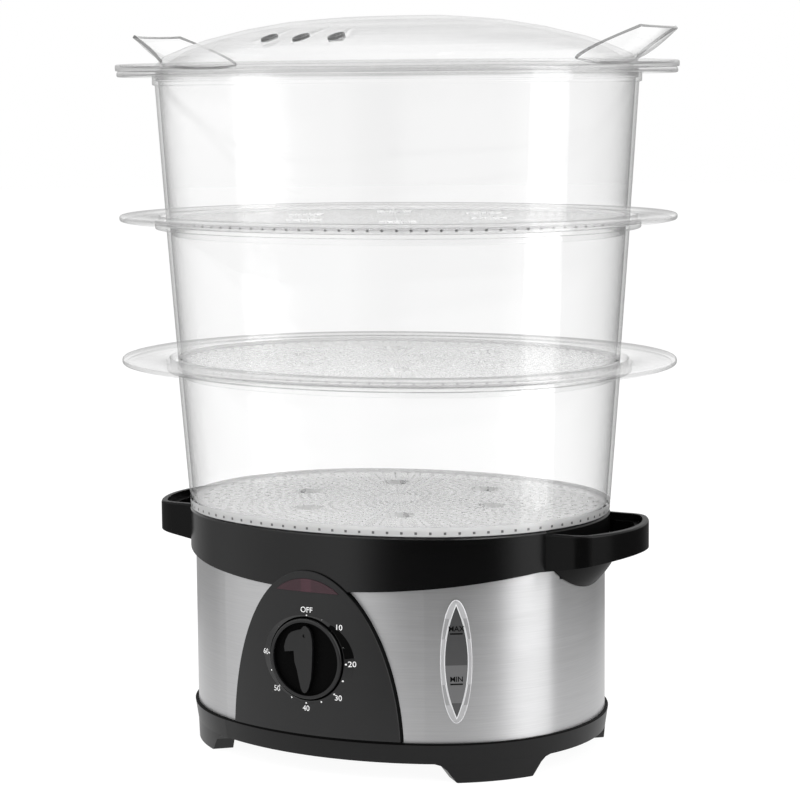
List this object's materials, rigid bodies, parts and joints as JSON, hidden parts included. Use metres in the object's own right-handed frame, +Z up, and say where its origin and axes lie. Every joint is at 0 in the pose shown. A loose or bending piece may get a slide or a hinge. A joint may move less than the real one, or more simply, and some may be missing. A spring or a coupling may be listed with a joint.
{
  "type": "electric food steamer",
  "caption": "Oval electric food steamer: steel-banded base with tank, heater and timer dial, under a drip tray, stacked clear baskets and a clear lid with side grips.",
  "frame": {"origin": "on the resting surface, at the centre of the oval footprint", "axes": "+Z up; +X from one side handle to the other; -Y faces the user (timer and panel)"},
  "size_m": [0.341, 0.288, 0.4259],
  "materials": {
    "black_plastic": "satin black moulded plastic",
    "gloss_black": "gloss black moulded plastic",
    "dark_plastic": "moulded dark grey plastic",
    "rubber": "matt",
    "silicone": "translucent white silicone",
    "brushed_steel": "brushed along the oval",
    "zinc_steel": "zinc plated",
    "cast_aluminium": "as cast",
    "red_lens": "dark red translucent lens",
    "lamp_glass": "clear glass envelope",
    "white_plastic": "off-white technical plastic",
    "wire_sleeve": "woven glass sleeve",
    "clear_plastic": "clear moulded plastic"
  },
  "bodies": {
    "base": {"base_frame": "black_plastic", "foot_pads": "rubber", "bottom_cover": "black_plastic", "bottom_screws": "zinc_steel", "steel_band": "brushed_steel", "top_collar": "gloss_black", "control_panel": "gloss_black", "pilot_lens": "red_lens", "neon_lamp": "lamp_glass", "timer_body": "white_plastic", "timer_bell": "zinc_steel", "timer_screws": "zinc_steel", "water_tank": "dark_plastic", "level_window_seal": "silicone", "level_window": "clear_plastic", "heater_plate": "brushed_steel", "element_seal": "silicone", "heater_block": "cast_aluminium", "heating_element": "zinc_steel", "clamp_ring": "zinc_steel", "heater_nuts": "zinc_steel", "thermostat": "white_plastic", "thermal_fuse": "zinc_steel", "terminal_block": "white_plastic", "internal_wiring": "wire_sleeve", "cord_gland": "rubber"},
    "timer_dial": {"timer_knob": "gloss_black", "timer_shaft": "zinc_steel"},
    "steam_ring": {"steam_ring": "dark_plastic"},
    "drip_tray": {"drip_tray": "clear_plastic"},
    "basket_1": {"basket_1": "clear_plastic"},
    "basket_2": {"basket_2": "clear_plastic"},
    "basket_3": {"basket_3": "clear_plastic"},
    "lid": {"lid": "clear_plastic"}
  },
  "joints": [
    {"name": "timer_turn", "type": "hinge", "parent": "base", "child": "timer_dial", "pos_m": [0, -0.108, 0.0678], "axis": [0, 1, 0], "range_deg": [0, 276]},
    {"name": "steam_ring_lift", "type": "slide", "parent": "base", "child": "steam_ring", "axis": [0, 0, 1], "range_m": [0, 0.11]},
    {"name": "drip_tray_lift", "type": "slide", "parent": "steam_ring", "child": "drip_tray", "axis": [0, 0, 1], "range_m": [0, 0.04]},
    {"name": "basket_1_lift", "type": "slide", "parent": "drip_tray", "child": "basket_1", "axis": [0, 0, 1], "range_m": [0, 0.05]},
    {"name": "basket_2_lift", "type": "slide", "parent": "basket_1", "child": "basket_2", "axis": [0, 0, 1], "range_m": [0, 0.05]},
    {"name": "basket_3_lift", "type": "slide", "parent": "basket_2", "child": "basket_3", "axis": [0, 0, 1], "range_m": [0, 0.05]},
    {"name": "lid_lift", "type": "slide", "parent": "basket_3", "child": "lid", "axis": [0, 0, 1], "range_m": [0, 0.06]}
  ]
}
